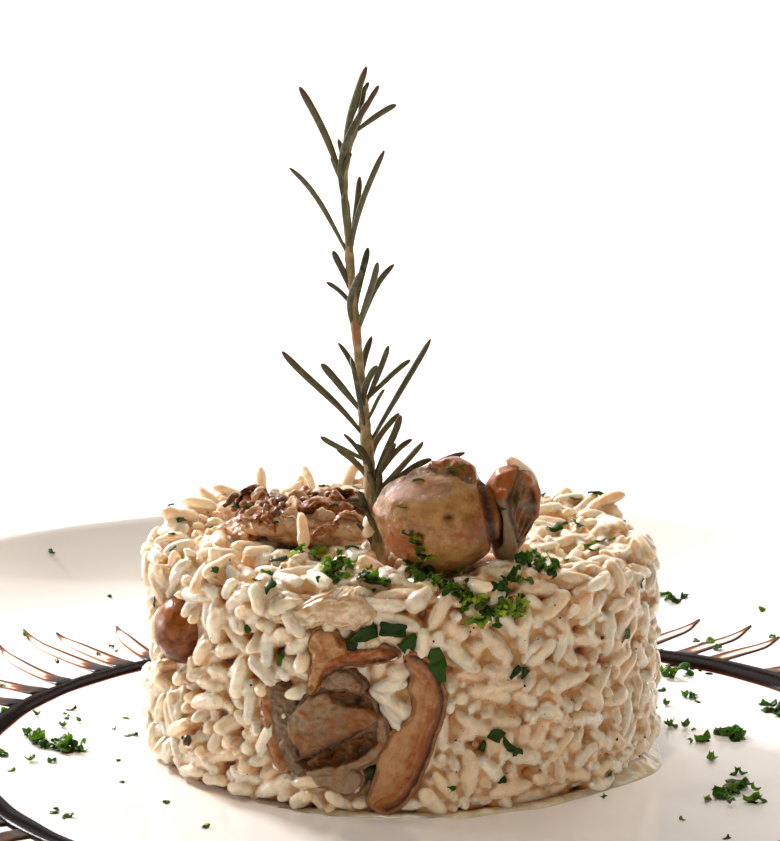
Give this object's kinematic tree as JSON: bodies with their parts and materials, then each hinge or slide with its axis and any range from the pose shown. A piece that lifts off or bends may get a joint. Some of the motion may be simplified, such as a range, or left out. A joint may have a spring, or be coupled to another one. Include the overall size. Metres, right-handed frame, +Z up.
{
  "type": "plated mushroom risotto",
  "caption": "Moulded drum of mushroom risotto on a round coupe plate, topped with mushrooms, chopped parsley and an upright rosemary sprig, inside a drawn ring of dark glaze.",
  "frame": {"origin": "centre of the plate's foot ring, on the table", "axes": "+Z up; -Y is the front, from which the tall crescent slice and the grey chunk show; +X is to the right from there"},
  "size_m": [0.272, 0.272, 0.1356],
  "materials": {
    "plate_glaze": "smooth white glaze, glossy",
    "rice": "cooked rice in a creamy sauce, moist",
    "browned_mushroom": "pan-browned mushroom, oily sheen",
    "mushroom_slice": "tan mushroom flesh with a browned edge, moist",
    "stewed_mushroom": "grey-brown stewed mushroom, moist",
    "rosemary": "dull dark green needles on a pale woody stem",
    "parsley": "fresh chopped leaf, satin",
    "balsamic": "thick dark vinegar glaze, glossy"
  },
  "bodies": {
    "root": {"plate": "plate_glaze", "risotto": "rice", "mushroom_whole": "browned_mushroom", "mushroom_half_cap": "browned_mushroom", "rosemary_sprig": "rosemary", "mushroom_slice_back": "mushroom_slice", "mushroom_slice_left": "mushroom_slice", "mushroom_slice_middle": "mushroom_slice", "mushroom_button": "browned_mushroom", "mushroom_chunk": "stewed_mushroom", "mushroom_crescent": "mushroom_slice", "mushroom_fold": "mushroom_slice"}
  },
  "joints": []
}
